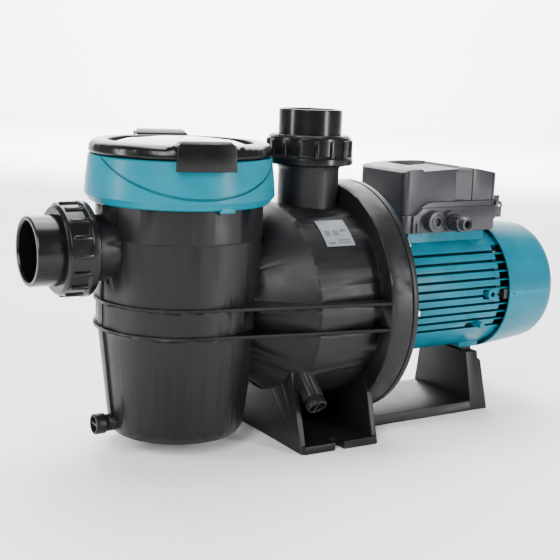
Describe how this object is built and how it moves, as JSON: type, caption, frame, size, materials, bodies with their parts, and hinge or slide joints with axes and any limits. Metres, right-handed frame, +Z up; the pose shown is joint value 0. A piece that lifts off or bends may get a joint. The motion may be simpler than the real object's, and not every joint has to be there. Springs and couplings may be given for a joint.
{
  "type": "swimming pool pump",
  "caption": "Self-priming pool pump: strainer pot with clear lid and lock ring, threaded pipe unions, ribbed drum casing and a finned fan-cooled motor on a stand.",
  "frame": {"origin": "on the floor, midway between the two bolt slots of the front foot", "axes": "+X along the shaft from the suction port to the motor, +Z up along the discharge port"},
  "size_m": [0.678, 0.278, 0.3767],
  "materials": {
    "black_plastic": "satin moulded glass-filled plastic",
    "gloss_black": "semi-gloss moulded plastic",
    "teal_plastic": "satin moulded plastic",
    "teal_paint": "satin paint on cast aluminium",
    "clear_plastic": "clear polycarbonate",
    "box_grey": "satin moulded plastic",
    "basket_grey": "moulded polypropylene",
    "rubber": "matt rubber",
    "amber_plastic": "moulded plastic",
    "steel": "zinc plated and turned steel",
    "aluminium": "die cast",
    "laminations": "stacked steel sheet",
    "copper": "enamelled copper wire",
    "ceramic": "fired alumina",
    "carbon": "carbon face in rubber",
    "label_silver": "printed foil"
  },
  "bodies": {
    "housing": {"strainer_pot": "black_plastic", "volute_casing": "black_plastic", "casing_foot": "black_plastic", "pot_collar": "teal_plastic", "lid_oring": "rubber", "suction_socket": "gloss_black", "suction_union_oring": "rubber", "discharge_socket": "gloss_black", "discharge_union_oring": "rubber", "diffuser": "amber_plastic", "seal_plate": "black_plastic", "casing_screws": "steel", "casing_oring": "rubber", "seal_seat": "ceramic", "motor_bracket": "teal_paint", "bracket_screws": "steel", "front_bearing": "steel", "rear_bearing": "steel", "stator_core": "laminations", "stator_windings": "copper", "motor_frame": "teal_paint", "rear_end_shield": "aluminium", "tie_bolts": "steel", "fan_cover": "teal_paint", "fan_cover_screws": "steel", "terminal_box_base": "box_grey", "box_hinge_pins": "steel", "box_gasket": "rubber", "box_screws": "steel", "terminal_block": "amber_plastic", "run_capacitor": "aluminium", "gland_body": "gloss_black", "gland_seal": "rubber", "blank_plug": "box_grey", "motor_stand": "black_plastic", "stand_pad": "rubber", "stand_screws": "steel", "plain_label": "label_silver"},
    "lid": {"clear_lid": "clear_plastic"},
    "lock_ring": {"lid_lock_ring": "gloss_black"},
    "basket": {"strainer_basket": "basket_grey"},
    "handle": {"basket_handle": "basket_grey"},
    "suction_nut": {"suction_union_nut": "gloss_black"},
    "discharge_nut": {"discharge_union_nut": "gloss_black"},
    "pot_drain": {"pot_drain_plug": "black_plastic", "pot_drain_oring": "rubber"},
    "volute_drain": {"volute_drain_plug": "black_plastic", "volute_drain_oring": "rubber"},
    "rotating": {"motor_shaft": "steel", "rotor": "aluminium", "impeller": "amber_plastic", "cooling_fan": "black_plastic", "seal_head": "carbon", "shaft_slinger": "rubber"},
    "box_lid": {"terminal_box_lid": "box_grey"},
    "cable_nut": {"gland_nut": "gloss_black"}
  },
  "joints": [
    {"name": "lid_lift", "type": "slide", "parent": "housing", "child": "lid", "axis": [0, 0, 1], "range_m": [0, 0.33]},
    {"name": "lock_ring_turn", "type": "hinge", "parent": "lid", "child": "lock_ring", "pos_m": [-0.151, 0, 0.32], "axis": [0, 0, 1], "range_deg": [0, 40]},
    {"name": "basket_lift", "type": "slide", "parent": "housing", "child": "basket", "axis": [0, 0, 1], "range_m": [0, 0.27]},
    {"name": "basket_handle_swing", "type": "hinge", "parent": "basket", "child": "handle", "pos_m": [-0.151, 0, 0.2544], "axis": [0, 1, 0], "range_deg": [0, 85]},
    {"name": "suction_nut_turn", "type": "hinge", "parent": "housing", "child": "suction_nut", "pos_m": [-0.279, 0, 0.227], "axis": [1, 0, 0], "continuous": true},
    {"name": "discharge_nut_turn", "type": "hinge", "parent": "housing", "child": "discharge_nut", "pos_m": [0.0155, 0, 0.33], "axis": [0, 0, 1], "continuous": true},
    {"name": "pot_drain_draw", "type": "slide", "parent": "housing", "child": "pot_drain", "axis": [-1, 0, 0], "range_m": [0, 0.03]},
    {"name": "volute_drain_draw", "type": "slide", "parent": "housing", "child": "volute_drain", "axis": [0, -0.7547, -0.6561], "range_m": [0, 0.03]},
    {"name": "shaft_spin", "type": "hinge", "parent": "housing", "child": "rotating", "pos_m": [0.19, 0, 0.154], "axis": [1, 0, 0], "continuous": true},
    {"name": "box_lid_swing", "type": "hinge", "parent": "housing", "child": "box_lid", "pos_m": [0.275, 0, 0.261], "axis": [0, 1, 0], "range_deg": [0, 100]},
    {"name": "gland_nut_turn", "type": "hinge", "parent": "housing", "child": "cable_nut", "pos_m": [0.187, -0.08, 0.246], "axis": [0, 1, 0], "continuous": true}
  ],
  "couplings": [
    {"joint": "basket_lift", "follows": "lid_lift", "ratio": 0.8},
    {"joint": "basket_handle_swing", "follows": "lid_lift", "rad_per_m": 4.2}
  ]
}
